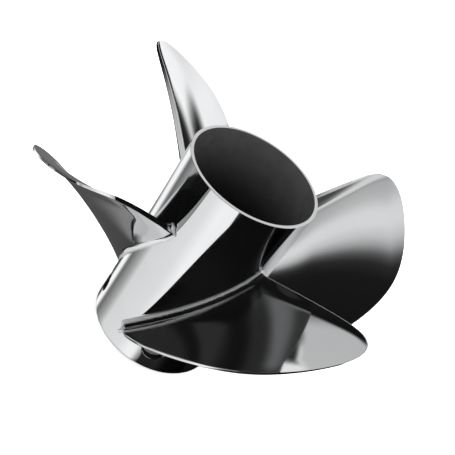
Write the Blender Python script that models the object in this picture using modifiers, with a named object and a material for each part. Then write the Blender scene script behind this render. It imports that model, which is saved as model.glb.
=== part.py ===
"""Four-blade boat propeller with the exhaust led out through its hub.

The shaft axis is Z. The propeller stands on the front end of its hub, z = 0, and the open aft end is up.
Every size below is in millimetres, and every angle in degrees, seen from aft, anticlockwise.
"""
import math

import bmesh
import bpy
import numpy as np

MM = 0.001
GAP = 0.3                    # between pieces that touch

BLADES = 4
TURN = 360 / BLADES

# Hub barrel, a turned shell with a slight waist.
HUB_LENGTH = 196.7
RIM_RADIUS = 60.3
RIM_WALL = 3.1
WAIST_RADIUS = 58.6
WAIST_HEIGHT = 65.0
FRONT_ROUND = 3.0            # radius of the front end's outer edge
PASSAGE_RADIUS = 53.0        # inside of the barrel, along the ribs
PASSAGE_TOP = 140.0          # above this the inside widens towards the rim
BARREL_STEPS = 72
WAIST_STEPS = 8
PASSAGE_STEPS = 4            # in the part that widens

# Vent holes, one ahead of each blade.
VENT_RADIUS = 10.4
VENT_HEIGHT = 23.8

# Blades. The outline is drawn on a plane across the shaft: x towards the trailing edge, y outwards.
BLADE_ANGLE = 18.0           # from +X to the line x = 0 of the first blade's outline
OUTLINE = [(-48.5, 35), (-64.5, 71.2), (-71.5, 114.5), (-44, 161.5), (-9, 183),
           (53.5, 182), (78.5, 157), (48.5, 117), (25, 51.5)]
BLADE_HEIGHT = 104.5         # of the pressure face where x = 0 meets the hub
RAKE = 0.563                 # how fast the face leans aft as the radius grows
RAKE_CURVE = -0.0008         # per millimetre, how this changes further out
PITCH_ROOT = 524.1           # advance of the face in one turn, at the hub
PITCH_MIDDLE = 586.5         # halfway out
PITCH_TIP = 558.1
PROGRESSION = -9.5           # how the pitch changes along the chord
CUP_WIDTH = (14.0, 5.0)      # band along the trailing edge that is bent aft, at the root and at the tip
CUP_SLOPE = 0.62             # how steep the bent band is at the edge
CUP_FADE = 3.0               # the cup fades out over the last third of the span
CUP_ON_SUCTION = 0.6         # how much of the cup the suction face follows
LEADING_THICKNESS = (4.1, 2.9)       # at the root, and outwards of the place given by the next value
LEADING_FADE = 1.8
TRAILING_THICKNESS = (6.3, 1.3)      # at the root and at the tip
TRAILING_FADE = 1.5
TRAILING_TILT = 0.03         # how far the trailing edge is cut off square to the face
SECTION_SWELL = (6.2, 0.9)   # added in the middle of a section, at the root and at the tip
SWELL_FADE = 0.7
SWELL_PLACE = 0.85           # below 1 the thickest place lies ahead of the middle
TIP_THICKNESS = 0.35         # share of the thickness left at the very tip
TIP_FADE = 5.0               # the thinning takes the last fifth of the span
PRESSURE_FILLET = (9.0, 6.0)         # radius at the leading edge and at the trailing edge
SUCTION_FILLET = 3.5
TRAILING_FILLET = 7.0        # round the trailing edge
FILLET_END = 6.0             # the round end takes the last sixth of the chord
LEADING_FLARE = (0.0, 0.7)           # how far a fillet runs out past the edge, pressure and suction side
TRAILING_FLARE = (0.6, 0.1)
FILLET_ROWS = 3
HUB_FADE = 24.0              # height over which the blade lets go of the barrel's waist
SPAN_ROWS = 13
TIP_SHARE = 0.9998           # of the span, so that the last section isn't a single point
CHORD_COLUMNS = 18
EDGE_COLUMNS = 4             # across the thickness, round both edges and under the root

# Inner hub, ribs, bushing and sleeve.
INNER_HUB_RADIUS = 31.0
INNER_HUB_BOTTOM = 12.0
INNER_HUB_TOP = 132.0
LIP_HEIGHT = 6.0             # inward lip at the inner hub's aft end
LIP_RADIUS = 20.0
RIB_THICKNESS = 6.0
RIB_BOTTOM = 20.0
RIB_TOP = 124.0
RIB_ANGLE = 45.0
BUSHING_RADIUS = 25.0
BUSHING_BOTTOM = 18.0
SLEEVE_RADIUS = 17.0
SLEEVE_BOTTOM = 8.0
SLEEVE_TOP = 135.0
SPLINE_TEETH = 15
SPLINE_ROOT_RADIUS = 12.7
SPLINE_TIP_RADIUS = 11.2


def clear_scene():
    for item in list(bpy.data.objects):
        bpy.data.objects.remove(item, do_unlink=True)


def new_collection(name):
    collection = bpy.data.collections.new(name)
    bpy.context.scene.collection.children.link(collection)
    return collection


def material(name, colour, metallic, roughness):
    result = bpy.data.materials.new(name)
    result.use_nodes = True
    shader = result.node_tree.nodes["Principled BSDF"]
    shader.inputs["Base Color"].default_value = (*colour, 1.0)
    shader.inputs["Metallic"].default_value = metallic
    shader.inputs["Roughness"].default_value = roughness
    return result


def polished_steel(name):
    return material(name, (0.78, 0.79, 0.80), 1.0, 0.05)


def add_object(name, mesh, collection, surface):
    item = bpy.data.objects.new(name, mesh)
    collection.objects.link(item)
    if surface:
        mesh.materials.append(surface)
    return item


def turned(name, profile, collection, surface, steps):
    """A body turned about Z. The profile is a closed loop of (radius, height), down its outer side."""
    mesh = bpy.data.meshes.new(name)
    points = [(radius * MM, 0.0, height * MM) for radius, height in profile]
    edges = [(i, (i + 1) % len(points)) for i in range(len(points))]
    mesh.from_pydata(points, edges, [])
    item = add_object(name, mesh, collection, surface)
    screw = item.modifiers.new("turn", "SCREW")
    screw.axis = "Z"
    screw.angle = math.tau
    screw.steps = steps
    screw.render_steps = steps
    screw.use_merge_vertices = True
    screw.merge_threshold = 0.00001
    screw.use_smooth_shade = True
    return item


def between(ends, share):
    return ends[0] + (ends[1] - ends[0]) * share


def smooth(share):
    """Rises smoothly from 0 to 1."""
    share = min(max(share, 0.0), 1.0)
    return share * share * (3 - 2 * share)


def barrel_radius(height):
    """Outside of the barrel: a parabola with its smallest radius at the waist."""
    reach = (height - WAIST_HEIGHT) / (HUB_LENGTH - WAIST_HEIGHT)
    return WAIST_RADIUS + (RIM_RADIUS - WAIST_RADIUS) * reach ** 2


def barrel_profile():
    heights = np.linspace(HUB_LENGTH, FRONT_ROUND, WAIST_STEPS + 1)
    outer = [(barrel_radius(height), height) for height in heights]
    centre = barrel_radius(FRONT_ROUND) - FRONT_ROUND
    arc = [math.radians(angle) for angle in (30, 60, 90)]
    outer += [(centre + FRONT_ROUND * math.cos(a), FRONT_ROUND * (1 - math.sin(a))) for a in arc]
    inner_rim = RIM_RADIUS - RIM_WALL
    passage = [(PASSAGE_RADIUS, 0.0)]
    for share in np.linspace(0, 1, PASSAGE_STEPS + 1):
        radius = between((PASSAGE_RADIUS, inner_rim), smooth(share))
        passage.append((radius, between((PASSAGE_TOP, HUB_LENGTH), share)))
    return outer + passage


def cut(item, cutter):
    drill = item.modifiers.new("cut " + cutter.name, "BOOLEAN")
    drill.operation = "DIFFERENCE"
    drill.solver = "EXACT"
    drill.object = cutter


def drill_for_vents(name, across, cutters):
    """One rod through the barrel, which cuts two opposite vent holes."""
    bpy.ops.mesh.primitive_cylinder_add(
        vertices=24, radius=VENT_RADIUS * MM, depth=3 * RIM_RADIUS * MM,
        location=(0, 0, VENT_HEIGHT * MM), rotation=across)
    rod = bpy.context.object
    rod.name = name
    for owner in list(rod.users_collection):
        owner.objects.unlink(rod)
    cutters.objects.link(rod)
    rod.hide_render = True
    rod.display_type = "WIRE"
    return rod


def build_barrel(parts, cutters):
    barrel = turned("hub_barrel", barrel_profile(), parts, polished_steel("barrel steel"), BARREL_STEPS)
    cut(barrel, drill_for_vents("vent_drill_x", (0, math.pi / 2, 0), cutters))
    cut(barrel, drill_for_vents("vent_drill_y", (math.pi / 2, 0, 0), cutters))


def spline_curve(control, count):
    """Points along a cubic B-spline that starts and ends on its first and last control points."""
    control = np.array(control, float)
    spans = len(control) - 3
    knots = np.concatenate([[0.0] * 3, np.linspace(0, 1, spans + 1), [1.0] * 3])
    points = []
    for t in np.linspace(0, 1, count):
        span = 3 + min(int(t * spans), spans - 1)
        local = [control[j + span - 3].copy() for j in range(4)]
        for level in range(1, 4):
            for j in range(3, level - 1, -1):
                low = knots[j + span - 3]
                high = knots[j + 1 + span - level]
                share = (t - low) / (high - low)
                local[j] = (1 - share) * local[j - 1] + share * local[j]
        points.append(local[3])
    return np.array(points)


def blade_edges():
    """Radius and angle along the leading edge and along the trailing edge, both from hub to tip."""
    outline = spline_curve(OUTLINE, 400)
    radius = np.hypot(outline[:, 0], outline[:, 1])
    angle = np.arctan2(outline[:, 0], outline[:, 1])
    tip = int(radius.argmax())
    leading = radius[:tip + 1], angle[:tip + 1]
    trailing = radius[tip:][::-1], angle[tip:][::-1]
    return leading, trailing


def face_height(radius, angle):
    """Height of the pressure face at this radius and at this angle from the outline's x = 0."""
    out = radius - RIM_RADIUS
    share = out / (2 * RIM_RADIUS)
    bow = PITCH_MIDDLE - (PITCH_ROOT + PITCH_TIP) / 2
    pitch = PITCH_ROOT + (PITCH_TIP - PITCH_ROOT) * share + 4 * bow * share * (1 - share)
    raked = BLADE_HEIGHT + RAKE * out + RAKE_CURVE * out ** 2
    return raked + pitch / math.tau * angle + PROGRESSION * angle ** 2


def pitch_slope(radius, angle):
    """Rise of the pressure face for each millimetre around the shaft."""
    step = 0.01
    rise = face_height(radius, angle + step) - face_height(radius, angle - step)
    return rise / (2 * step * radius)


def section_thickness(along, out):
    """Thickness of a blade section: along runs from leading to trailing edge, out from root to tip."""
    leading = between(LEADING_THICKNESS, smooth(LEADING_FADE * out))
    trailing = between(TRAILING_THICKNESS, out ** TRAILING_FADE)
    swell = between(SECTION_SWELL, out ** SWELL_FADE) * math.sin(math.pi * along ** SWELL_PLACE)
    return (between((leading, trailing), along) + swell) * smooth(TIP_THICKNESS + TIP_FADE * (1 - out))


def cup(from_trailing, along, out):
    """How far the face lies below the helical sheet through both edges, and the slope that this gives it."""
    width = between(CUP_WIDTH, out)
    slope = CUP_SLOPE * along * smooth(CUP_FADE * (1 - out))
    bend = min(from_trailing / width, 1.0)
    return slope * width / 2 * bend * (2 - bend), slope * (1 - bend)


def fillet_radius(along, side):
    """Radius of the fillet at the hub: large on the pressure face, small on the suction face."""
    end = smooth(1 - FILLET_END * (1 - along))
    pressure = between((between(PRESSURE_FILLET, along), TRAILING_FILLET), end)
    return between((pressure, SUCTION_FILLET), side)


def span_stations():
    """(height and flare in fillets, share of the span beyond the fillet) of every row, root to tip."""
    stations = []
    for i in range(FILLET_ROWS + 1):
        angle = math.pi / 2 * i / FILLET_ROWS
        stations.append((1 - math.cos(angle), 1 - math.sin(angle), 0.0))
    for i in range(1, SPAN_ROWS):
        stations.append((1.0, 0.0, 1 - (1 - i / SPAN_ROWS) ** 2))
    return stations + [(1.0, 0.0, TIP_SHARE)]


def chord_shares():
    """Places along a section, closer together near both edges."""
    even = [i / CHORD_COLUMNS for i in range(CHORD_COLUMNS + 1)]
    return [0.5 * share + 0.25 * (1 - math.cos(math.pi * share)) for share in even]


def blade_point(edges, station, along, side):
    """A point on a blade: side 0 is the pressure face, side 1 the suction face."""
    leading, trailing = edges
    raised, flared, share = station
    fillet = fillet_radius(along, side)
    reach = leading[0][-1] - RIM_RADIUS
    height = fillet * raised + (reach - fillet) * share
    flare = fillet * flared
    out = height / reach
    radius = RIM_RADIUS + height
    start = np.interp(radius, *leading)
    end = np.interp(radius, *trailing)
    slope = pitch_slope(radius, (start + end) / 2)
    cosine = 1 / math.hypot(1, slope)
    thick = section_thickness(along, out)
    start -= flare * between(LEADING_FLARE, side) * cosine / radius
    end += (flare * between(TRAILING_FLARE, side) - TRAILING_TILT * thick * side * along) * cosine / radius
    angle = start + (end - start) * along
    drop, bend = cup((end - angle) * radius / cosine, along, out)
    lean = slope + bend / cosine
    upright = 1 / math.hypot(1, lean)
    offset = side * thick + (2 * side - 1) * flare
    up = face_height(radius, angle) - drop * between((1.0, CUP_ON_SUCTION), side) - offset * upright
    angle += offset * upright * lean / radius
    on_barrel = barrel_radius(up) + GAP - RIM_RADIUS
    radius += on_barrel * (1 - smooth(height / HUB_FADE))
    return radius, angle, up


def section_ring():
    """The places round a section, as (step along the chord, step through the thickness)."""
    pressure = [(i, 0) for i in range(CHORD_COLUMNS)]
    trailing = [(CHORD_COLUMNS, j) for j in range(EDGE_COLUMNS)]
    suction = [(i, EDGE_COLUMNS) for i in range(CHORD_COLUMNS, 0, -1)]
    leading = [(0, j) for j in range(EDGE_COLUMNS, 0, -1)]
    return pressure + trailing + suction + leading


def blade_mesh():
    """A blade lofted through sections from the barrel to the tip, closed along both edges."""
    edges = blade_edges()
    mesh = bmesh.new()
    ring = section_ring()
    stations = span_stations()
    rows = [{} for _ in stations]

    def vertex(row, place):
        if place not in rows[row]:
            along, side = chord_shares()[place[0]], place[1] / EDGE_COLUMNS
            radius, angle, up = blade_point(edges, stations[row], along, side)
            point = (radius * math.cos(angle) * MM, radius * math.sin(angle) * MM, up * MM)
            rows[row][place] = mesh.verts.new(point)
        return rows[row][place]

    for row in range(len(stations) - 1):
        for here, there in zip(ring, ring[1:] + ring[:1]):
            below = [vertex(row, here), vertex(row, there)]
            above = [vertex(row + 1, there), vertex(row + 1, here)]
            mesh.faces.new(below + above)
    for row in (0, len(stations) - 1):
        for i in range(CHORD_COLUMNS):
            for j in range(EDGE_COLUMNS):
                corners = ((i, j), (i + 1, j), (i + 1, j + 1), (i, j + 1))
                mesh.faces.new([vertex(row, place) for place in corners])
    bmesh.ops.recalc_face_normals(mesh, faces=mesh.faces[:])
    result = bpy.data.meshes.new("blade")
    mesh.to_mesh(result)
    mesh.free()
    return result


def build_blades(parts):
    mesh = blade_mesh()
    for k in range(BLADES):
        blade = bpy.data.objects.new("blade_%d" % (k + 1), mesh.copy())
        parts.objects.link(blade)
        blade.data.materials.append(polished_steel("blade %d steel" % (k + 1)))
        blade.rotation_euler.z = math.radians(BLADE_ANGLE + k * TURN)


def build_inner_hub(parts):
    bore = BUSHING_RADIUS + GAP
    profile = [
        (INNER_HUB_RADIUS - 1, INNER_HUB_TOP), (INNER_HUB_RADIUS, INNER_HUB_TOP - 1),
        (INNER_HUB_RADIUS, INNER_HUB_BOTTOM + 1), (INNER_HUB_RADIUS - 1, INNER_HUB_BOTTOM),
        (bore, INNER_HUB_BOTTOM), (bore, INNER_HUB_TOP - LIP_HEIGHT),
        (LIP_RADIUS, INNER_HUB_TOP - LIP_HEIGHT), (LIP_RADIUS, INNER_HUB_TOP)]
    turned("inner_hub", profile, parts, material("inner hub steel", (0.5, 0.5, 0.5), 1.0, 0.35), 48)


def build_ribs(parts):
    corner = PASSAGE_RADIUS - GAP
    outer = math.sqrt(corner ** 2 - (RIB_THICKNESS / 2) ** 2)
    inner = INNER_HUB_RADIUS + GAP
    for k in range(BLADES):
        turn = math.radians(RIB_ANGLE + k * TURN)
        middle = (outer + inner) / 2 * MM
        bpy.ops.mesh.primitive_cube_add(size=1)
        rib = bpy.context.object
        rib.name = "rib_%d" % (k + 1)
        for corner_point in rib.data.vertices:
            corner_point.co.x *= (outer - inner) * MM
            corner_point.co.y *= RIB_THICKNESS * MM
            corner_point.co.z *= (RIB_TOP - RIB_BOTTOM) * MM
        rib.location = (middle * math.cos(turn), middle * math.sin(turn), (RIB_TOP + RIB_BOTTOM) / 2 * MM)
        rib.rotation_euler.z = turn
        for owner in list(rib.users_collection):
            owner.objects.unlink(rib)
        parts.objects.link(rib)
        rib.data.materials.append(material("rib %d steel" % (k + 1), (0.5, 0.5, 0.5), 1.0, 0.35))


def build_bushing(parts):
    bore = SLEEVE_RADIUS + GAP
    top = INNER_HUB_TOP - LIP_HEIGHT - GAP
    profile = [
        (BUSHING_RADIUS, top), (BUSHING_RADIUS, BUSHING_BOTTOM + 2), (BUSHING_RADIUS - 2, BUSHING_BOTTOM),
        (bore + 1, BUSHING_BOTTOM), (bore, BUSHING_BOTTOM + 1), (bore, top)]
    turned("rubber_bushing", profile, parts, material("rubber", (0.02, 0.02, 0.02), 0.0, 0.6), 48)


def spline_ring(radius_out, radius_in):
    """Radius and angle around a splined bore: flat-topped teeth with a space as wide as a tooth."""
    pitch = math.tau / SPLINE_TEETH
    ring = []
    for tooth in range(SPLINE_TEETH):
        for share, radius in ((0.08, radius_out), (0.42, radius_out), (0.56, radius_in), (0.94, radius_in)):
            ring.append((radius, (tooth + share) * pitch))
    return ring


def build_sleeve(parts):
    """The drive sleeve: a round outside and a splined bore, both turned through the same angles."""
    bore = spline_ring(SPLINE_ROOT_RADIUS, SPLINE_TIP_RADIUS)
    chamfer = [(SPLINE_ROOT_RADIUS + 0.6, angle) for _, angle in bore]
    levels = [
        ([(SLEEVE_RADIUS - 1, a) for _, a in bore], SLEEVE_TOP), (chamfer, SLEEVE_TOP),
        (bore, SLEEVE_TOP - 1.5), (bore, SLEEVE_BOTTOM + 1.5), (chamfer, SLEEVE_BOTTOM),
        ([(SLEEVE_RADIUS - 1, a) for _, a in bore], SLEEVE_BOTTOM),
        ([(SLEEVE_RADIUS, a) for _, a in bore], SLEEVE_BOTTOM + 1),
        ([(SLEEVE_RADIUS, a) for _, a in bore], SLEEVE_TOP - 1)]
    mesh = bmesh.new()
    rows = []
    for ring, height in levels:
        points = [(r * math.cos(a) * MM, r * math.sin(a) * MM, height * MM) for r, a in ring]
        rows.append([mesh.verts.new(point) for point in points])
    for low, high in zip(rows, rows[1:] + rows[:1]):
        for i in range(len(low)):
            j = (i + 1) % len(low)
            mesh.faces.new((low[i], low[j], high[j], high[i]))
    bmesh.ops.recalc_face_normals(mesh, faces=mesh.faces[:])
    result = bpy.data.meshes.new("splined_sleeve")
    mesh.to_mesh(result)
    mesh.free()
    add_object("splined_sleeve", result, parts, material("bronze", (0.62, 0.42, 0.22), 1.0, 0.3))


def main():
    clear_scene()
    parts = new_collection("boat_propeller")
    cutters = new_collection("cutters")
    build_barrel(parts, cutters)
    build_blades(parts)
    build_inner_hub(parts)
    build_ribs(parts)
    build_bushing(parts)
    build_sleeve(parts)


main()
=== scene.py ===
"""A mirror-polished four-blade boat propeller, seen from aft and a little to one side.

The shaft axis is Z and the propeller stands on the front end of its hub. Every piece is modelled again
here, finer than in the solids. The design values are the same, but for the cup, the edges and the tips of
the blades and the way their feet follow the barrel.
Sizes are in millimetres and turned into metres where a mesh is made.
"""
import math

import bpy
import numpy as np
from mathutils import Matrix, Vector


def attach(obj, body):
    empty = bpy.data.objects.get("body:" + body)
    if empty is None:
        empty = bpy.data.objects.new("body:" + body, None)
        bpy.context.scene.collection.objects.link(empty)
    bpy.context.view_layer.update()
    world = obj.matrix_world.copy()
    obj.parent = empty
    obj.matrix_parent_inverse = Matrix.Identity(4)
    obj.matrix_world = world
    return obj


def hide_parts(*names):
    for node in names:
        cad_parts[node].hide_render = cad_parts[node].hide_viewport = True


MM = 0.001

# The hub barrel.
HUB_LENGTH = 196.7
RIM_RADIUS = 60.3
RIM_WALL = 3.1
RIM_EDGE = 0.25              # radius of the rim's edges
WAIST_RADIUS = 58.6
WAIST_HEIGHT = 65.0
FRONT_ROUND = 3.0            # radius of the front end's outer edge
FRONT_EDGE = 0.8             # and of its inner edge
PASSAGE_RADIUS = 53.0        # inside of the barrel, along the ribs
PASSAGE_TOP = 140.0          # above this the inside widens towards the rim
BARREL_STEPS = 288
WALL_ROWS = 60
PASSAGE_ROWS = 40
FRONT_ROWS = 10
EDGE_ROWS = 4
HOLD_STEPS = [0.08, 0.3]     # from an edge to the rows that keep it crisp

# The vent holes.
VENT_RADIUS = 10.4
VENT_HEIGHT = 23.8
VENT_EDGE = 0.7              # radius of the round edge that the drill leaves
VENT_COLUMNS = 96
DRILL_LEAD = (-6.0, -0.4)    # depths between which the drill is widest, outside the barrel
DRILL_DEPTH = 12.0
DRILL_FLARE = 3              # how much wider it is there, in radii of the round edge
DRILL_ARC = (12, 90)         # degrees of the round edge
DRILL_ROWS = 7

# The blades. The outline lies on a plane across the shaft: x towards the trailing edge, y outwards.
BLADES = 4
BLADE_ANGLE = 18.0           # from +X to the line x = 0 of the first blade's outline
OUTLINE = [(-48.5, 35), (-64.5, 71.2), (-71.5, 114.5), (-44, 161.5), (-9, 183),
           (53.5, 182), (78.5, 157), (48.5, 117), (25, 51.5)]
OUTLINE_POINTS = 2000
BLADE_HEIGHT = 104.5         # of the pressure face where x = 0 meets the hub
RAKE = 0.563                 # how fast the face leans aft as the radius grows
RAKE_CURVE = -0.0008         # per millimetre, how this changes further out
PITCH_ROOT = 524.1           # advance of the face in one turn, at the hub
PITCH_MIDDLE = 586.5         # halfway out
PITCH_TIP = 558.1
PROGRESSION = -9.5           # how the pitch changes along the chord
CUP_WIDTH = (14.0, 5.0)      # band along the trailing edge that is bent aft, at the root and at the tip
CUP_SLOPE = 0.62             # how steep the bent band is at the edge
CUP_FADE = 4                 # the higher, the nearer to the tip the cup lasts
CUP_ON_SUCTION = 0.6         # how much of the cup the suction face follows
LEADING_THICKNESS = (2.4, 2.9)       # at the root and further out
LEADING_FADE = 1.8           # the second value holds from 1 / 1.8 of the span
LEADING_BULGE = 5            # 2 is a round edge, and a high value a flat one with tight corners
TRAILING_THICKNESS = (6.3, 1.3)      # at the root and at the tip
TRAILING_FADE = 1.5
TRAILING_BULGE = 8
TRAILING_CORNER = 0.25
TRAILING_TILT = (0.07, -0.53)        # set-back of its suction side in thicknesses, at the root and tip
TILT_FADE = 1.6
EDGE_LIMIT = 0.3             # share of the chord that a round edge takes at most
SECTION_SWELL = (6.2, 0.9)   # added in the middle of a section, at the root and at the tip
SWELL_FADE = 0.7
SWELL_PLACE = 0.85           # below 1 the swell is highest ahead of the middle
TIP_THICKNESS = 0.55         # below 1 the blade gets thinner at its very tip
TIP_PART = 8                 # the thinning and the lift lie within the last eighth of the span
TIP_LIFT = 0.3               # how far the very tip is bent aft
PRESSURE_FILLET = (9.0, 6.0)         # radius at the leading edge and at the trailing edge
SUCTION_FILLET = 3.5
LEADING_FILLET = 1.0         # round the leading edge
TRAILING_FILLET = 7.0        # round the trailing edge
PRESSURE_START = (0.01, 0.045)       # shares of the chord between which it grows to its size
SUCTION_START = 0.2          # share of the chord over which the suction fillet does
FILLET_END = 6               # the trailing fillet comes in over the last sixth of the chord
FOOT_START = 0.93            # share of the chord where the fillet starts to turn round the edge
FILLET_ROWS = 12
SKIRT_FLARE = (1.2, 1.1)     # of the two rows below the fillet, in fillets
ROOT_DEPTH = 1.5             # how deep the root reaches into the barrel
FILLET_SINK = 0.004          # how deep the fillet's edge does
HUB_FADE = 40.0              # height over which the blade lets go of the barrel's waist
SPAN_ROWS = 64
TIP_SHARE = 0.9999           # of the span, so that the last section isn't a single point
CHORD_COLUMNS = 44
EDGE_COLUMNS = 10
EDGE_SHARES = [0.003, 0.0085]        # of the chord, from an edge to the columns that keep it crisp

# The inner hub, the ribs, the bushing and the splined sleeve.
INNER_HUB_RADIUS = 31.0
INNER_HUB_BOTTOM = 12.0
INNER_HUB_TOP = 132.0
LIP_HEIGHT = 6.0
LIP_RADIUS = 20.0
CAST_ROUND = 1.2
CORNER_HOLD = 0.3            # from a round to the row that keeps it crisp
CORNER_ROWS = 5
RIB_THICKNESS = 6.0
RIB_BOTTOM = 20.0
RIB_TOP = 124.0
RIB_ANGLE = 45.0
RIB_FILLET = 5.0
RIB_COLUMNS = 24
RIB_END_START = 0.05         # angle of the first row of a rounded end
RIB_END_ROWS = 7
SEAT = 0.4                   # how far a rib reaches into its neighbours, and the bushing stays below the lip
BUSHING_RADIUS = 25.0
BUSHING_BOTTOM = 18.0
SLEEVE_RADIUS = 17.0
SLEEVE_BOTTOM = 8.0
SLEEVE_TOP = 135.0
SPLINE_TEETH = 15
SPLINE_ROOT_RADIUS = 12.7
SPLINE_TIP_RADIUS = 11.2
TOOTH_STEEPNESS = 1.1
TOOTH_COLUMNS = 16
BORE_CHAMFER = 0.8           # across the sleeve's ends
CHAMFER_LENGTH = 1.5         # and along its bore
SLEEVE_ROUND = 1.0
TURN_STEPS = 120

# Degrees between faces below which the edge between them is shaded smooth.
SMOOTH_ANGLE = 40
SPLINE_SMOOTH_ANGLE = 35

# The photograph's view, found by matching the rim, the hub and the blades' outlines.
CAMERA_PLACE = Vector((-0.175, -0.732, 0.652))
CAMERA_TARGET = Vector((0.0056, -0.0014, 0.1373))
CAMERA_ROLL = 34.76
CAMERA_LENS = 83.7
CAMERA_SENSOR = 36
CAMERA_REACH = 50

# The floor, a plain pale disc.
FLOOR_RADIUS = 8.0
FLOOR_STEPS = 128
FLOOR_COLOUR = (0.9, 0.9, 0.9, 1)
FLOOR_ROUGHNESS = 0.9

# The finishes: colours, roughness, patterns as noise scales per metre, and depths of bumps in metres.
GRAIN_DETAIL = 3.0           # of plain noise
DUST_DETAIL = 4.0
FINE_DETAIL = 5.0            # of soot and tarnish
STEEL_COLOUR = (0.66, 0.665, 0.67)
HAZE_COLOUR = (0.63, 0.64, 0.655)
HAZE_SHARE = 0.6             # how much of the haze's colour shows at most
HAZE_SCALE = 22.0
HAZE_RISE = (0.4, 0.7)       # noise between which the haze comes in
POLISH = 0.045               # roughness of the mirror finish
POLISH_SPREAD = 0.012        # added to it by the marks, and as much by the haze
SATIN = 0.4                  # added to it at the foot of a fillet
FILLET_FINISH = 2.2          # height above the barrel where the satin ends
FILLET_START = 0.1           # height over which it comes in
FILLET_DULL = 1.2            # height up to which the satin's grey is full
DULL_START = 0.6             # height over which that comes in
DULL_SHARE = 0.2             # metal's colour that the grey takes away
STEEL_MARKS = 1.0
STEEL_MARK_DEPTH = 1e-6
MARKS_ROUND = 1.5            # how close the marks lie round the shaft, per radian
MARKS_ACROSS = 700           # and across it, per metre
CAST_GREY_PAINTED_SHADE = (0.006, 0.036)   # painted shade: darkest deep in the passage, lightest at the rim
CAST_PAINTED_SHADE_HEIGHTS = (0.12, 0.2)      # heights in metres over which the painted shade gives way to the rim's grey
CAST_BLUE = 1.03             # how much bluer than grey the casting is
CAST_ROUGHNESS = 0.42
CAST_GRAIN = 900.0
CAST_GRAIN_DEPTH = 1e-4
SOOT_SCALE = 60.0
SOOT_RISE = (0.3, 0.7)
SOOT_SHARE = 0.2             # darkens the casting and makes it rougher
RUBBER_COLOUR = (0.008, 0.008, 0.008)
RUBBER_ROUGHNESS = 0.55
RUBBER_GRAIN = 1200.0
RUBBER_GRAIN_DEPTH = 5e-5
DUST_COLOUR = (0.016, 0.015, 0.014)
DUST_SCALE = 90.0
DUST_RISE = (0.4, 0.7)
DUST_ROUGHNESS = 0.2         # added by dust
BRONZE_COLOUR = (0.62, 0.42, 0.22)
BRONZE_ROUGHNESS = 0.24
BRONZE_MARKS = 3.0
BRONZE_MARK_DEPTH = 2e-5
TARNISH_COLOUR = (0.36, 0.23, 0.12)
TARNISH_SCALE = 120.0
TARNISH_RISE = (0.35, 0.7)
TARNISH_ROUGHNESS = 0.15     # added by tarnish
MARKS_ROUGHNESS = 0.1        # added by tool marks and by cast grain
INWARD = -0.5                # a face of the barrel that looks inwards more than this lines the passage

# The studio, set to what the photograph's steel shows of each direction.
# Strip lights run along Y: (turn from straight up towards +X, brightness out of 255).
ROOM_LIGHT = 3.0
STRIPS = [(-180, 110), (-170, 240), (-150, 236), (-130, 220), (-121, 215), (-116, 38), (-95, 32), (-45, 16),
          (-9, 24), (-4, 40), (-1, 88), (1, 145), (4, 190), (8, 213), (12, 212), (16, 178), (22.5, 155),
          (26, 190), (30, 207), (46, 206), (60, 236), (84, 240), (88, 203), (90, 168), (93, 95), (97, 40),
          (110, 20), (140, 5), (170, 5), (180, 110)]
# The table, below the elevation TABLE_TOP: (azimuth from +X towards +Y, brightness).
TABLE_TOP = -29
TABLE_SOFT = 2
TABLE = [(13, 16), (40, 10), (70, 60), (88, 200), (97, 196), (103, 148), (114, 236), (128, 238), (139, 102),
         (151, 133), (163, 163), (176, 211), (225, 220), (245, 240), (268.7, 238), (269.8, 48), (283, 27),
         (298, 40), (318, 8), (355, 1)]
# Cards and flags, each over the ones before it and named by what mirrors it most:
# (azimuth from and to, elevation from and to, soft edge across and up, brightness).
CARDS = {
    "dark front of the barrel and middle of the lower blade": (190, 322, -28, 28, 16, 6, 24),
    "dark grey along the root of the lower blade": (222, 252, -2, 14, 6, 4, 50),
    "dark grey low on the lower blade": (243, 266, -9, 1, 8, 5, 52),
    "grey foot of the right blade's lip": (296, 322, 28, 44, 16, 6, 100),
    "faint streak on the lower blade": (276, 300, 5, 13, 10, 4, 48),
    "clear streak on the lower blade": (288, 307, 11, 24, 12, 4, 115),
    "pale foot of the left blade": (104, 182, -73, -56, 10, 5, 198),
    "grey inner half of the left blade": (60, 110, -100, -36, 14, 6, 66),
    "paler patch in that grey": (66, 84, -78, -50, 14, 10, 118),
    "dark foot of the barrel": (265, 300, -90, -41, 22, 2, 30),
    "grey beside the left blade's dark line": (106, 123, -78, -48, 6, 6, 62),
    "grey round the lower end of that line": (100, 142, -92, -73, 30, 6, 58),
    "dark line at the left blade's root": (107, 122, -88, -66, 4, 2, 6),
    "white on the barrel's upper left": (85, 109, -5, 30, 6, 10, 235),
    "white on the right blade's lip": (100, 115, 17, 25, 6, 3, 224),
    "bright patch on the lower blade": (100, 127, 21.5, 75, 14, 3, 180),
    "dark left of the barrel": (114, 196, -28, 14, 14, 8, 14),
    "dark grey left end of the lower blade": (192, 232, -26, -3, 10, 8, 44),
    "right streak on the top blade": (30, 50, 3, 12, 10, 6, 34),
    "dark lower end of the barrel's right edge": (26, 35, 4, 17, 4, 4, 8),
    "left streak on the top blade": (62, 75, -12, 2.5, 4, 3, 25),
    "pale rim of the barrel": (55, 100, 14, 42, 20, 8, 200),
    "grey stretch along the right blade's lip": (306, 338, 5, 38, 20, 20, 66),
    "grey tip of the left blade": (78, 89.5, -34, -25.5, 2, 3, 95),
    "dark right edge of the barrel": (22, 31.5, 6, 34, 3, 6, 8),
    "dark left of the lower blade's bright patch": (108.5, 124, 14, 20.8, 3, 1.5, 34),
}
# The curve between a picture's brightness and the amount of light.
SCREEN_OFFSET = 0.055
SCREEN_POWER = 2.4


def deselect_all():
    if bpy.context.object and bpy.context.object.mode != "OBJECT":
        bpy.ops.object.mode_set(mode="OBJECT")
    bpy.ops.object.select_all(action="DESELECT")


def make_active(piece):
    deselect_all()
    piece.select_set(True)
    bpy.context.view_layer.objects.active = piece


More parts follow.
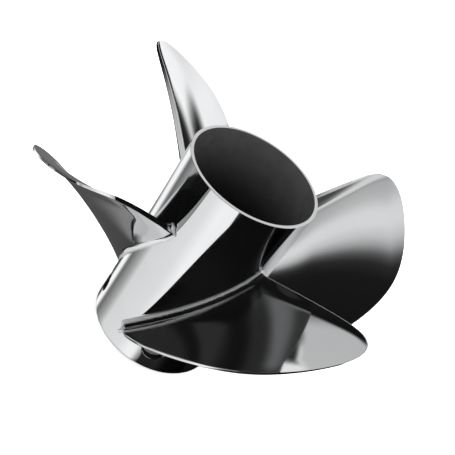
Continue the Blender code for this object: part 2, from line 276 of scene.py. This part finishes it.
def edit(piece):
    make_active(piece)
    bpy.ops.object.mode_set(mode="EDIT")
    bpy.ops.mesh.select_all(action="SELECT")


def leave_edit():
    bpy.ops.object.mode_set(mode="OBJECT")


def apply_modifiers(piece):
    make_active(piece)
    for modifier in list(piece.modifiers):
        bpy.ops.object.modifier_apply(modifier=modifier.name)


def smooth(share):
    """Rises smoothly from 0 to 1."""
    share = min(max(share, 0.0), 1.0)
    return share * share * (3 - 2 * share)


def between(ends, share):
    return ends[0] + (ends[1] - ends[0]) * share


def turn_profile(name, profile, steps):
    """Turns a closed profile of (radius, height) about Z."""
    deselect_all()
    bpy.ops.mesh.primitive_circle_add(vertices=len(profile), fill_type="NOTHING")
    piece = bpy.context.object
    piece.name = name
    piece.data.name = name
    for vertex, (radius, height) in zip(piece.data.vertices, profile):
        vertex.co = radius * MM, 0.0, height * MM
    edit(piece)
    bpy.ops.mesh.spin(steps=steps, angle=math.tau, center=(0, 0, 0), axis=(0, 0, 1))
    bpy.ops.mesh.select_all(action="SELECT")
    bpy.ops.mesh.remove_doubles(threshold=1e-6)
    bpy.ops.mesh.normals_make_consistent(inside=False)
    leave_edit()
    return piece


def shade(piece, angle):
    make_active(piece)
    bpy.ops.object.shade_smooth_by_angle(angle=math.radians(angle))


def arc(centre, radius, start, end, count):
    """Points on an arc in the profile's plane, from one angle in degrees to another."""
    points = []
    for i in range(count + 1):
        angle = math.radians(start + (end - start) * i / count)
        points.append((centre[0] + radius * math.cos(angle), centre[1] + radius * math.sin(angle)))
    return points


def barrel_radius(height):
    reach = (height - WAIST_HEIGHT) / (HUB_LENGTH - WAIST_HEIGHT)
    return WAIST_RADIUS + (RIM_RADIUS - WAIST_RADIUS) * reach ** 2


def passage_radius(height):
    share = (height - PASSAGE_TOP) / (HUB_LENGTH - PASSAGE_TOP)
    return PASSAGE_RADIUS + (RIM_RADIUS - RIM_WALL - PASSAGE_RADIUS) * smooth(share)


def barrel_profile():
    top = HUB_LENGTH - RIM_EDGE
    front = barrel_radius(FRONT_ROUND) - FRONT_ROUND
    inner_rim = RIM_RADIUS - RIM_WALL
    near = [top - step for step in HOLD_STEPS]
    rim = [(inner_rim + RIM_EDGE + step, HUB_LENGTH) for step in HOLD_STEPS]
    rim += [(RIM_RADIUS - RIM_EDGE - step, HUB_LENGTH) for step in reversed(HOLD_STEPS)]
    outer_edge = arc((RIM_RADIUS - RIM_EDGE, top), RIM_EDGE, 90, 0, EDGE_ROWS)
    heights = near + list(np.linspace(near[-1], FRONT_ROUND, WALL_ROWS)[1:-1])
    wall = [(barrel_radius(height), height) for height in heights]
    front_edge = arc((front, FRONT_ROUND), FRONT_ROUND, 0, -90, FRONT_ROWS)
    front_inner = arc((PASSAGE_RADIUS + FRONT_EDGE, FRONT_EDGE), FRONT_EDGE, -90, -180, EDGE_ROWS)
    heights = list(np.linspace(FRONT_EDGE, near[-1], PASSAGE_ROWS)[1:-1]) + near[::-1]
    passage = [(passage_radius(height), height) for height in heights]
    inner_edge = arc((inner_rim + RIM_EDGE, top), RIM_EDGE, 180, 90, EDGE_ROWS)
    return outer_edge + wall + front_edge + front_inner + passage + inner_edge + rim


def spline_curve(control, count):
    """Points along a cubic B-spline that starts and ends on its first and last control points."""
    control = np.array(control, float)
    spans = len(control) - 3
    knots = np.concatenate([[0.0] * 3, np.linspace(0, 1, spans + 1), [1.0] * 3])
    points = []
    for t in np.linspace(0, 1, count):
        span = 3 + min(int(t * spans), spans - 1)
        local = [control[j + span - 3].copy() for j in range(4)]
        for level in range(1, 4):
            for j in range(3, level - 1, -1):
                low = knots[j + span - 3]
                high = knots[j + 1 + span - level]
                share = (t - low) / (high - low)
                local[j] = (1 - share) * local[j - 1] + share * local[j]
        points.append(local[3])
    return np.array(points)


def blade_edges():
    """Radius and angle along the leading edge and along the trailing edge, both from hub to tip."""
    outline = spline_curve(OUTLINE, OUTLINE_POINTS)
    radius = np.hypot(outline[:, 0], outline[:, 1])
    angle = np.arctan2(outline[:, 0], outline[:, 1])
    tip = int(radius.argmax())
    leading = radius[:tip + 1], angle[:tip + 1]
    trailing = radius[tip:][::-1], angle[tip:][::-1]
    return leading, trailing


def face_height(radius, angle):
    """Height of the pressure face at this radius and at this angle from the outline's x = 0."""
    out = radius - RIM_RADIUS
    share = out / (2 * RIM_RADIUS)
    bow = PITCH_MIDDLE - (PITCH_ROOT + PITCH_TIP) / 2
    pitch = PITCH_ROOT + (PITCH_TIP - PITCH_ROOT) * share + 4 * bow * share * (1 - share)
    raked = BLADE_HEIGHT + RAKE * out + RAKE_CURVE * out ** 2
    return raked + pitch / math.tau * angle + PROGRESSION * angle ** 2


def pitch_slope(radius, angle):
    """Rise of the pressure face for each millimetre around the shaft."""
    step = 0.01
    rise = face_height(radius, angle + step) - face_height(radius, angle - step)
    return rise / (2 * step * radius)


def section_thickness(along, out):
    """Thickness of a blade section: along runs from leading to trailing edge, out from root to tip."""
    leading = between(LEADING_THICKNESS, smooth(LEADING_FADE * out))
    trailing = between(TRAILING_THICKNESS, out ** TRAILING_FADE)
    swell = between(SECTION_SWELL, out ** SWELL_FADE) * math.sin(math.pi * along ** SWELL_PLACE)
    return between((leading, trailing), along) + swell


def cup(from_trailing, along, out):
    """How far the face lies below the helical sheet through both edges, and the slope that this gives it."""
    width = between(CUP_WIDTH, out)
    slope = CUP_SLOPE * along * (1 - out ** CUP_FADE)
    bend = min(from_trailing / width, 1.0)
    return slope * width / 2 * bend * (2 - bend), slope * (1 - bend)


def span_stations():
    """(height in fillets, flare in fillets, depth sunk, share of the span) of every row, root to tip."""
    rows = [(0.0, SKIRT_FLARE[0], ROOT_DEPTH, 0.0), (0.0, SKIRT_FLARE[1], FILLET_SINK, 0.0)]
    for i in range(FILLET_ROWS + 1):
        angle = math.pi / 2 * i / FILLET_ROWS
        rows.append((1 - math.cos(angle), 1 - math.sin(angle), FILLET_SINK, 0.0))
    for i in range(1, SPAN_ROWS + 1):
        rows.append((1.0, 0.0, 0.0, 1 - (1 - i / SPAN_ROWS) ** 2))
    return rows


def fillet_radius(along, side):
    """Radius of the fillet at the hub: small at the leading edge, large on the pressure face."""
    near_end = smooth(1 - FILLET_END * (1 - along))
    pressure = between((between(PRESSURE_FILLET, along), TRAILING_FILLET), near_end)
    start, end = PRESSURE_START
    pressure = between((LEADING_FILLET, pressure), smooth((along - start) / (end - start)))
    suction = between((LEADING_FILLET, SUCTION_FILLET), smooth(along / SUCTION_START))
    return between((pressure, suction), side)


def foot_turn(along, side):
    """How far the fillet has turned from the faces to the back of the trailing edge, 0 to 1."""
    if along < 1:
        return 0.5 * smooth((along - FOOT_START) / (1 - FOOT_START))
    return 0.5 + 0.5 * smooth(2 - 4 * abs(side - 0.5))


def section_ring():
    """(along the chord, through the thickness) of every point round a section."""
    chord = []
    for i in range(CHORD_COLUMNS + 1):
        even = i / CHORD_COLUMNS
        denser_at_ends = 0.5 - 0.5 * math.cos(math.pi * even)
        chord.append((even + denser_at_ends) / 2)
    chord[1:1] = EDGE_SHARES
    chord[-1:-1] = [1 - share for share in reversed(EDGE_SHARES)]
    edge = [0.5 - 0.5 * math.cos(math.pi * j / EDGE_COLUMNS) for j in range(1, EDGE_COLUMNS)]
    ring = [(share, 0.0) for share in chord]
    ring += [(1.0, side) for side in edge]
    ring += [(share, 1.0) for share in reversed(chord)]
    ring += [(0.0, side) for side in reversed(edge)]
    return ring


def edge_bulge(side, power):
    """How far an edge stands out in the middle of its thickness, from 0 at its corners to 1."""
    return (1 - abs(2 * side - 1) ** power) ** (1 / power)


def edge_offset(along, side, out, thick, lead_round, trail_round):
    """How far a point of an edge stands outwards: the leading one is round, the trailing one cut off."""
    if along == 0.0:
        return -lead_round * edge_bulge(side, LEADING_BULGE)
    if along == 1.0:
        tilt = between(TRAILING_TILT, out ** TILT_FADE) * thick * side
        return trail_round * edge_bulge(side, TRAILING_BULGE) - tilt
    return 0.0


def blade_point(edges, station, along, side):
    """A point on a blade: side 0 is the pressure face, side 1 the suction face."""
    leading, trailing = edges
    raised, flared, sunk, share = station
    fillet = fillet_radius(along, side)
    reach = leading[0][-1] - RIM_RADIUS
    height = fillet * raised - sunk + (reach - fillet) * share * TIP_SHARE
    flare = fillet * flared
    out = max(height, 0.0) / reach
    radius = RIM_RADIUS + height
    start = np.interp(radius, *leading)
    end = np.interp(radius, *trailing)
    slope = pitch_slope(radius, (start + end) / 2)
    cosine = 1 / math.hypot(1, slope)
    chord = (end - start) * radius / cosine
    thin = smooth(TIP_THICKNESS + TIP_PART * (1 - out))
    lead_round = min(0.5 * section_thickness(0, out) * thin, EDGE_LIMIT * chord)
    trail_round = min(TRAILING_CORNER, EDGE_LIMIT * chord)
    thick = section_thickness(along, out) * thin
    outward = edge_offset(along, side, out, thick, lead_round, trail_round)
    start += lead_round * cosine / radius
    turn = math.pi / 2 * foot_turn(along, side)
    end += (flare * math.sin(turn) - trail_round) * cosine / radius
    flare *= math.cos(turn)
    angle = start + (end - start) * along + outward * cosine / radius
    from_trailing = max(end - angle, 0.0) * radius / cosine
    drop, bend = cup(from_trailing, along, out)
    lean = slope + bend / cosine
    upright = 1 / math.hypot(1, lean)
    offset = side * thick + (2 * side - 1) * flare
    drop *= between((1.0, CUP_ON_SUCTION), side)
    up = face_height(radius, angle) - drop - offset * upright
    up += TIP_LIFT * max(1 - TIP_PART * (1 - out), 0.0) ** 2
    angle += offset * upright * lean / radius
    fade = 1 - smooth(height / HUB_FADE)
    radius += (barrel_radius(up) - RIM_RADIUS) * fade
    return radius, angle, up


def roll_skin(name, rings, rows, place):
    """A grid rolled into a tube: place gives each point, and an end that stays open is closed."""
    deselect_all()
    bpy.ops.mesh.primitive_grid_add(x_subdivisions=rings, y_subdivisions=rows, size=1)
    piece = bpy.context.object
    piece.name = name
    piece.data.name = name
    for vertex in piece.data.vertices:
        i = round((vertex.co.x + 0.5) * rings)
        j = round((vertex.co.y + 0.5) * rows)
        vertex.co = place(i % rings, j)
    edit(piece)
    bpy.ops.mesh.remove_doubles(threshold=1e-9)
    bpy.ops.mesh.fill_holes(sides=0)
    bpy.ops.mesh.select_all(action="SELECT")
    bpy.ops.mesh.normals_make_consistent(inside=False)
    leave_edit()
    return piece


def model_blade():
    """The first blade, with each vertex's height above the barrel kept for its finish."""
    edges = blade_edges()
    ring = section_ring()
    stations = span_stations()
    turned = math.radians(BLADE_ANGLE)

    def place(i, j):
        radius, angle, up = blade_point(edges, stations[j], *ring[i])
        angle += turned
        return radius * math.cos(angle) * MM, radius * math.sin(angle) * MM, up * MM

    blade = roll_skin("polished_blade_1", len(ring), len(stations) - 1, place)
    make_active(blade)
    bpy.ops.object.shade_smooth()
    heights = blade.data.attributes.new("above_barrel", "FLOAT", "POINT")
    for vertex, value in zip(blade.data.vertices, heights.data):
        radius = math.hypot(vertex.co.x, vertex.co.y) / MM
        value.value = radius - barrel_radius(vertex.co.z / MM)
    return blade


def copy_turned(piece, name, angle):
    """A copy with its own mesh, turned about the shaft by an angle in degrees."""
    copy = piece.copy()
    copy.name = name
    copy.data = piece.data.copy()
    copy.data.name = name
    bpy.context.scene.collection.objects.link(copy)
    copy.rotation_euler.z = math.radians(angle)
    make_active(copy)
    bpy.ops.object.transform_apply(location=False, rotation=True, scale=False)
    return copy


def join_pieces(pieces):
    make_active(pieces[0])
    for piece in pieces:
        piece.select_set(True)
    bpy.ops.object.join()
    return pieces[0]


def turned_set(first, name):
    """The first piece and its copies, one for each blade."""
    pieces = [first]
    for number in range(1, BLADES):
        pieces.append(copy_turned(first, "%s_%d" % (name, number + 1), number * 360 / BLADES))
    return pieces


def model_vent_drills():
    """Four drills that widen at the barrel's surface, so that they leave the holes with round edges."""
    rows = [(depth, VENT_RADIUS + DRILL_FLARE * VENT_EDGE) for depth in DRILL_LEAD]
    for angle in np.radians(np.linspace(*DRILL_ARC, DRILL_ROWS)):
        rows.append((VENT_EDGE * (1 - math.cos(angle)), VENT_RADIUS + VENT_EDGE * (1 - math.sin(angle))))
    rows.append((DRILL_DEPTH, VENT_RADIUS))

    def place(i, j):
        depth, reach = rows[j]
        turn = math.tau * i / VENT_COLUMNS
        across = reach * math.sin(turn)
        up = VENT_HEIGHT + reach * math.cos(turn)
        out = math.sqrt(barrel_radius(up) ** 2 - across ** 2) - depth
        return out * MM, across * MM, up * MM

    drill = roll_skin("drill", VENT_COLUMNS, len(rows) - 1, place)
    return join_pieces(turned_set(drill, "drill"))


def model_barrel():
    barrel = turn_profile("polished_barrel", barrel_profile(), BARREL_STEPS)
    drills = model_vent_drills()
    cut = barrel.modifiers.new("vents", "BOOLEAN")
    cut.object = drills
    cut.operation = "DIFFERENCE"
    apply_modifiers(barrel)
    bpy.data.objects.remove(drills, do_unlink=True)
    shade(barrel, SMOOTH_ANGLE)
    return barrel


def rounded(corners, size):
    """A closed profile with every corner rounded, and a point beside each round to hold it."""
    points = []
    for i, corner in enumerate(corners):
        here = np.array(corner)
        before = np.array(corners[i - 1]) - here
        after = np.array(corners[(i + 1) % len(corners)]) - here
        before /= np.hypot(*before)
        after /= np.hypot(*after)
        points.append(here + before * (size + CORNER_HOLD))
        for share in np.linspace(0, 1, CORNER_ROWS):
            points.append(here + size * (before * (1 - share) ** 2 + after * share ** 2))
        points.append(here + after * (size + CORNER_HOLD))
    return points


def model_inner_hub():
    corners = [(INNER_HUB_RADIUS, INNER_HUB_TOP), (INNER_HUB_RADIUS, INNER_HUB_BOTTOM),
               (BUSHING_RADIUS, INNER_HUB_BOTTOM), (BUSHING_RADIUS, INNER_HUB_TOP - LIP_HEIGHT),
               (LIP_RADIUS, INNER_HUB_TOP - LIP_HEIGHT), (LIP_RADIUS, INNER_HUB_TOP)]
    hub = turn_profile("cast_inner_hub", rounded(corners, CAST_ROUND), TURN_STEPS)
    shade(hub, SMOOTH_ANGLE)
    return hub


def model_bushing():
    top = INNER_HUB_TOP - LIP_HEIGHT - SEAT
    corners = [(BUSHING_RADIUS, top), (BUSHING_RADIUS, BUSHING_BOTTOM),
               (SLEEVE_RADIUS, BUSHING_BOTTOM), (SLEEVE_RADIUS, top)]
    bushing = turn_profile("moulded_bushing", rounded(corners, CAST_ROUND), TURN_STEPS)
    shade(bushing, SMOOTH_ANGLE)
    return bushing


def model_sleeve():
    """A round sleeve with a splined bore, as rows from the bore over the aft end and back."""
    eased = SLEEVE_TOP - 0.1 * SLEEVE_ROUND
    rows = [(0.0, SLEEVE_BOTTOM + CHAMFER_LENGTH), (0.0, SLEEVE_TOP - CHAMFER_LENGTH),
            (0.75 * BORE_CHAMFER, eased), (BORE_CHAMFER, SLEEVE_TOP),
            (SLEEVE_RADIUS - SLEEVE_ROUND, SLEEVE_TOP), (SLEEVE_RADIUS - 0.7 * SLEEVE_ROUND, eased),
            (SLEEVE_RADIUS, SLEEVE_TOP - SLEEVE_ROUND), (SLEEVE_RADIUS, SLEEVE_BOTTOM + SLEEVE_ROUND),
            (SLEEVE_RADIUS - SLEEVE_ROUND, SLEEVE_BOTTOM), (BORE_CHAMFER, SLEEVE_BOTTOM),
            (0.0, SLEEVE_BOTTOM + CHAMFER_LENGTH)]
    columns = SPLINE_TEETH * TOOTH_COLUMNS

    def place(i, j):
        reach, up = rows[j]
        turn = math.tau * i / columns
        tooth = smooth(TOOTH_STEEPNESS * math.cos(SPLINE_TEETH * turn) + 0.5)
        bore = between((SPLINE_ROOT_RADIUS, SPLINE_TIP_RADIUS), tooth)
        radius = reach
        if reach <= BORE_CHAMFER:
            radius = bore + (SPLINE_ROOT_RADIUS - bore) * reach / BORE_CHAMFER + reach
        return radius * math.cos(turn) * MM, radius * math.sin(turn) * MM, up * MM

    sleeve = roll_skin("splined_bronze_sleeve", columns, len(rows) - 1, place)
    shade(sleeve, SPLINE_SMOOTH_ANGLE)
    return sleeve


def rib_spread(radius):
    """Half the rib's thickness at this radius: it spreads where it meets the inner hub and the barrel."""
    near = min(radius - INNER_HUB_RADIUS, PASSAGE_RADIUS - radius)
    left = min(max(1 - near / RIB_FILLET, 0.0), 1.0)
    return RIB_THICKNESS / 2 + RIB_FILLET * (1 - math.sqrt(1 - left ** 2))


def model_rib():
    """The first rib, as sections across the shaft with both ends rounded."""
    shares = [0.5 - 0.5 * math.cos(math.pi * i / RIB_COLUMNS) for i in range(RIB_COLUMNS + 1)]
    ring = [(share, 1) for share in shares] + [(share, -1) for share in reversed(shares)]
    angles = np.linspace(RIB_END_START, math.pi / 2, RIB_END_ROWS)
    ends = [(1 - math.cos(angle), math.sin(angle)) for angle in angles]
    rows = [(RIB_BOTTOM + RIB_THICKNESS / 2 * up, width) for up, width in ends]
    rows += [(RIB_TOP - RIB_THICKNESS / 2 * up, width) for up, width in reversed(ends)]
    turned = math.radians(RIB_ANGLE)

    def place(i, j):
        share, side = ring[i]
        up, width = rows[j]
        out = between((INNER_HUB_RADIUS - SEAT, PASSAGE_RADIUS + SEAT), share)
        across = side * rib_spread(out) * width
        x = out * math.cos(turned) - across * math.sin(turned)
        y = out * math.sin(turned) + across * math.cos(turned)
        return x * MM, y * MM, up * MM

    rib = roll_skin("cast_rib_1", len(ring), len(rows) - 1, place)
    shade(rib, SMOOTH_ANGLE)
    return rib


def line_passage(barrel, surface):
    """Leaves the exhaust passage and the walls of the vent holes as cast, with a surface of their own."""
    barrel.data.materials.append(surface)
    for face in barrel.data.polygons:
        out = Vector((face.center.x, face.center.y, 0))
        up = face.center.z / MM
        inward = face.normal.dot(out.normalized()) < INWARD
        deep = barrel_radius(up) - out.length / MM > VENT_EDGE
        if inward or deep and abs(up - VENT_HEIGHT) < VENT_RADIUS:
            face.material_index = 1


class Value:
    """A socket of a node tree. Sums, products and powers of values add the nodes that work them out."""

    def __init__(self, tree, socket=None):
        self.tree = tree
        self.socket = socket

    def node(self, kind, settings, inputs, output=0):
        """Adds a node: its settings come first, then the values or links of its sockets."""
        node = self.tree.nodes.new("ShaderNode" + kind)
        for name, setting in settings.items():
            if name == "stops":
                set_stops(node.color_ramp, setting)
            else:
                setattr(node, name, setting)
        for name, value in inputs.items():
            if isinstance(value, Value):
                self.tree.links.new(value.socket, node.inputs[name])
            else:
                node.inputs[name].default_value = value
        return Value(self.tree, node.outputs[output] if node.outputs else None)

    def maths(self, operation, *others):
        return self.node("Math", {"operation": operation}, dict(enumerate((self,) + others)))

    def __add__(self, other):
        return self.maths("ADD", other)

    def __radd__(self, other):
        return self.maths("ADD", other)

    def __sub__(self, other):
        return self.maths("SUBTRACT", other)

    def __rsub__(self, other):
        return self.node("Math", {"operation": "SUBTRACT"}, {0: other, 1: self})

    def __mul__(self, other):
        return self.maths("MULTIPLY", other)

    def __rmul__(self, other):
        return self.maths("MULTIPLY", other)

    def __truediv__(self, other):
        return self.maths("DIVIDE", other)

    def __pow__(self, other):
        return self.maths("POWER", other)

    def rise(self, start, end, low=0.0, high=1.0):
        """Goes smoothly from low to high as this value goes from start to end."""
        return self.node("MapRange", {"interpolation_type": "SMOOTHSTEP"},
                         {"Value": self, "From Min": start, "From Max": end, "To Min": low, "To Max": high})

    def link(self, value, socket):
        self.tree.links.new(value.socket, socket)

    def split(self):
        """The x, y and z of a vector."""
        node = self.tree.nodes.new("ShaderNodeSeparateXYZ")
        self.tree.links.new(self.socket, node.inputs[0])
        return [Value(self.tree, output) for output in node.outputs]


def set_stops(ramp, stops):
    """Gives a ramp its stops: (place, brightness) in order."""
    while len(ramp.elements) < len(stops):
        ramp.elements.new(1.0)
    for element, (place, bright) in zip(ramp.elements, stops):
        element.position = place
        element.color = bright, bright, bright, 1


def new_surface(name):
    """A material with its shader, and a value to start its patterns from."""
    surface = bpy.data.materials.new(name)
    surface.use_nodes = True
    shader = surface.node_tree.nodes["Principled BSDF"]
    return surface, shader, Value(surface.node_tree)


def object_place(start):
    return start.node("TexCoord", {}, {}, "Object")


def lines_round_shaft(start, place):
    """Coordinates that stretch a pattern into fine lines round the shaft."""
    x, y, z = place.split()
    turn = y.maths("ARCTAN2", x) * MARKS_ROUND
    radius = (x * x + y * y) ** 0.5
    return start.node("CombineXYZ", {}, {"X": turn, "Y": radius * MARKS_ACROSS, "Z": z * MARKS_ACROSS})


def noise(start, place, scale, detail=GRAIN_DETAIL):
    return start.node("TexNoise", {}, {"Vector": place, "Scale": scale, "Detail": detail}, "Fac")


def blend(start, share, first, second):
    """A colour between two others."""
    return start.node("Mix", {"data_type": "RGBA"}, {0: share, 6: (*first, 1), 7: (*second, 1)}, 2)


def bump(start, height, distance, shader):
    bumped = start.node("Bump", {}, {"Height": height, "Distance": distance, "Strength": 1.0})
    start.link(bumped, shader.inputs["Normal"])


def polished_steel():
    """Mirror polished, with fine marks round the shaft, a little haze and duller satin fillets."""
    steel, shader, start = new_surface("polished stainless steel")
    place = object_place(start)
    marks = noise(start, lines_round_shaft(start, place), STEEL_MARKS)
    haze = noise(start, place, HAZE_SCALE).rise(*HAZE_RISE)
    above = start.node("Attribute", {"attribute_name": "above_barrel"}, {}, "Fac")
    root = above.rise(FILLET_FINISH, 0.0) * above.rise(0.0, FILLET_START)
    start.link(blend(start, haze * HAZE_SHARE, STEEL_COLOUR, HAZE_COLOUR), shader.inputs["Base Color"])
    rough = POLISH + marks * POLISH_SPREAD + haze * POLISH_SPREAD + root * SATIN
    start.link(rough, shader.inputs["Roughness"])
    dull = above.rise(FILLET_FINISH, FILLET_DULL) * above.rise(0.0, DULL_START)
    start.link(1 - dull * DULL_SHARE, shader.inputs["Metallic"])
    bump(start, marks, STEEL_MARK_DEPTH, shader)
    return steel


def cast_steel():
    """As cast, with random soot, and with painted shade that darkens the grey more so further in."""
    wall, shader, start = new_surface("dark satin casting with painted shade")
    place = object_place(start)
    z = place.split()[2]
    grain = noise(start, place, CAST_GRAIN)
    soot = noise(start, place, SOOT_SCALE, FINE_DETAIL).rise(*SOOT_RISE)
    # Painted shade: the grey gets darker with depth into the passage and the vent holes, where shadow falls.
    bright = z.rise(*CAST_PAINTED_SHADE_HEIGHTS, *CAST_GREY_PAINTED_SHADE) * (1 + SOOT_SHARE / 2 - soot * SOOT_SHARE)
    grey = start.node("CombineColor", {}, {0: bright, 1: bright, 2: bright * CAST_BLUE})
    start.link(grey, shader.inputs["Base Color"])
    rough = CAST_ROUGHNESS + soot * SOOT_SHARE + grain * MARKS_ROUGHNESS
    start.link(rough, shader.inputs["Roughness"])
    bump(start, grain, CAST_GRAIN_DEPTH, shader)
    return wall


def moulded_rubber():
    rubber, shader, start = new_surface("black rubber")
    place = object_place(start)
    grain = noise(start, place, RUBBER_GRAIN)
    dust = noise(start, place, DUST_SCALE, DUST_DETAIL).rise(*DUST_RISE)
    start.link(blend(start, dust, RUBBER_COLOUR, DUST_COLOUR), shader.inputs["Base Color"])
    start.link(RUBBER_ROUGHNESS + dust * DUST_ROUGHNESS, shader.inputs["Roughness"])
    bump(start, grain, RUBBER_GRAIN_DEPTH, shader)
    return rubber


def machined_bronze():
    bronze, shader, start = new_surface("machined bronze")
    place = object_place(start)
    marks = noise(start, lines_round_shaft(start, place), BRONZE_MARKS)
    tarnish = noise(start, place, TARNISH_SCALE, FINE_DETAIL).rise(*TARNISH_RISE)
    start.link(blend(start, tarnish, BRONZE_COLOUR, TARNISH_COLOUR), shader.inputs["Base Color"])
    rough = BRONZE_ROUGHNESS + marks * MARKS_ROUGHNESS + tarnish * TARNISH_ROUGHNESS
    start.link(rough, shader.inputs["Roughness"])
    bump(start, marks, BRONZE_MARK_DEPTH, shader)
    shader.inputs["Metallic"].default_value = 1.0
    return bronze


def cover(piece, surface, slot, *nodes):
    """Gives a finished piece its material, hangs it under the root body and hides the solids' parts that it
    replaces.
    """
    piece.data.materials.clear()
    piece.data.materials.append(surface)
    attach(piece, "root")
    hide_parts(*nodes)


def set_camera():
    data = bpy.data.cameras.new("camera")
    data.lens = CAMERA_LENS
    data.sensor_width = CAMERA_SENSOR
    data.clip_end = CAMERA_REACH
    camera = bpy.data.objects.new("camera", data)
    bpy.context.scene.collection.objects.link(camera)
    camera.rotation_euler = (CAMERA_TARGET - CAMERA_PLACE).to_track_quat("-Z", "Y").to_euler()
    camera.rotation_euler.rotate_axis("Z", math.radians(CAMERA_ROLL))
    camera.location = CAMERA_PLACE
    bpy.context.scene.camera = camera


def lay_floor():
    deselect_all()
    bpy.ops.mesh.primitive_circle_add(vertices=FLOOR_STEPS, radius=FLOOR_RADIUS, fill_type="NGON")
    floor = bpy.context.object
    floor.name = "floor"
    white, shader = new_surface("pale floor")[:2]
    shader.inputs["Base Color"].default_value = FLOOR_COLOUR
    shader.inputs["Roughness"].default_value = FLOOR_ROUGHNESS
    shader.inputs["Specular IOR Level"].default_value = 0.0
    floor.data.materials.append(white)
    floor.visible_glossy = False


def window(value, centre, half, soft):
    """1 within half of the centre, falling smoothly to 0 across the soft edge."""
    away = (value - centre).maths("ABSOLUTE")
    return away.rise(half - soft / 2, half + soft / 2, 1.0, 0.0)


def light_studio():
    """An even white room, with strip lights and cards that only polished metal shows."""
    world = bpy.data.worlds.new("studio")
    bpy.context.scene.world = world
    world.use_nodes = True
    world.cycles.sampling_method = "NONE"
    tree = world.node_tree
    tree.nodes.clear()
    start = Value(tree)
    x, y, z = start.node("TexCoord", {}, {}, "Generated").split()
    azimuth = y.maths("ARCTAN2", x) * math.degrees(1)
    height = z.maths("ARCSINE") * math.degrees(1)
    roll = x.maths("ARCTAN2", z) / math.tau + 0.5
    stops = [(angle / 360 + 0.5, bright / 255) for angle, bright in STRIPS]
    tone = start.node("ValToRGB", {"stops": stops}, {"Fac": roll})
    stops = [(angle / 360, bright / 255) for angle, bright in TABLE]
    turn = (azimuth / 360).maths("WRAP", 0.0, 1.0)
    table = start.node("ValToRGB", {"stops": stops}, {"Fac": turn})
    share = height.rise(TABLE_TOP + TABLE_SOFT, TABLE_TOP - TABLE_SOFT)
    tone = tone * (1 - share) + table * share
    for left, right, low, high, side_edge, end_edge, bright in CARDS.values():
        around = (azimuth - (left + right) / 2).maths("WRAP", -180.0, 180.0)
        across = window(around, 0.0, (right - left) / 2, side_edge)
        up = window(height, (low + high) / 2, (high - low) / 2, end_edge)
        share = across * up
        tone = tone * (1 - share) + share * (bright / 255)
    lit = ((tone + SCREEN_OFFSET) / (1 + SCREEN_OFFSET)) ** SCREEN_POWER
    shown = lit / STEEL_COLOUR[1]
    polished = start.node("LightPath", {}, {}, "Is Glossy Ray")
    light = polished * shown + (1 - polished) * ROOM_LIGHT
    surround = start.node("Background", {}, {"Color": (1, 1, 1, 1), "Strength": light})
    start.node("OutputWorld", {}, {"Surface": surround})


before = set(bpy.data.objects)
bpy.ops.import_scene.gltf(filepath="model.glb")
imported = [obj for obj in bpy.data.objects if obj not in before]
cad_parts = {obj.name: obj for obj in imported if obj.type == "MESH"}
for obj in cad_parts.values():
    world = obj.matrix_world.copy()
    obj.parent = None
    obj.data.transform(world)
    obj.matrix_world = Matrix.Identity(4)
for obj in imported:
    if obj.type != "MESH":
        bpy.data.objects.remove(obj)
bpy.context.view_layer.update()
set_camera()
steel = polished_steel()
casting = cast_steel()
barrel = model_barrel()
cover(barrel, steel, "polished_steel", "hub_barrel")
line_passage(barrel, casting)
for number, blade in enumerate(turned_set(model_blade(), "polished_blade")):
    cover(blade, steel, "polished_steel", "blade_%d" % (number + 1))
for number, rib in enumerate(turned_set(model_rib(), "cast_rib")):
    cover(rib, casting, "cast_steel", "rib_%d" % (number + 1))
cover(model_inner_hub(), casting, "cast_steel", "inner_hub")
cover(model_bushing(), moulded_rubber(), "rubber", "rubber_bushing")
cover(model_sleeve(), machined_bronze(), "bronze", "splined_sleeve")
lay_floor()
light_studio()
bpy.context.scene.view_settings.view_transform = "Standard"
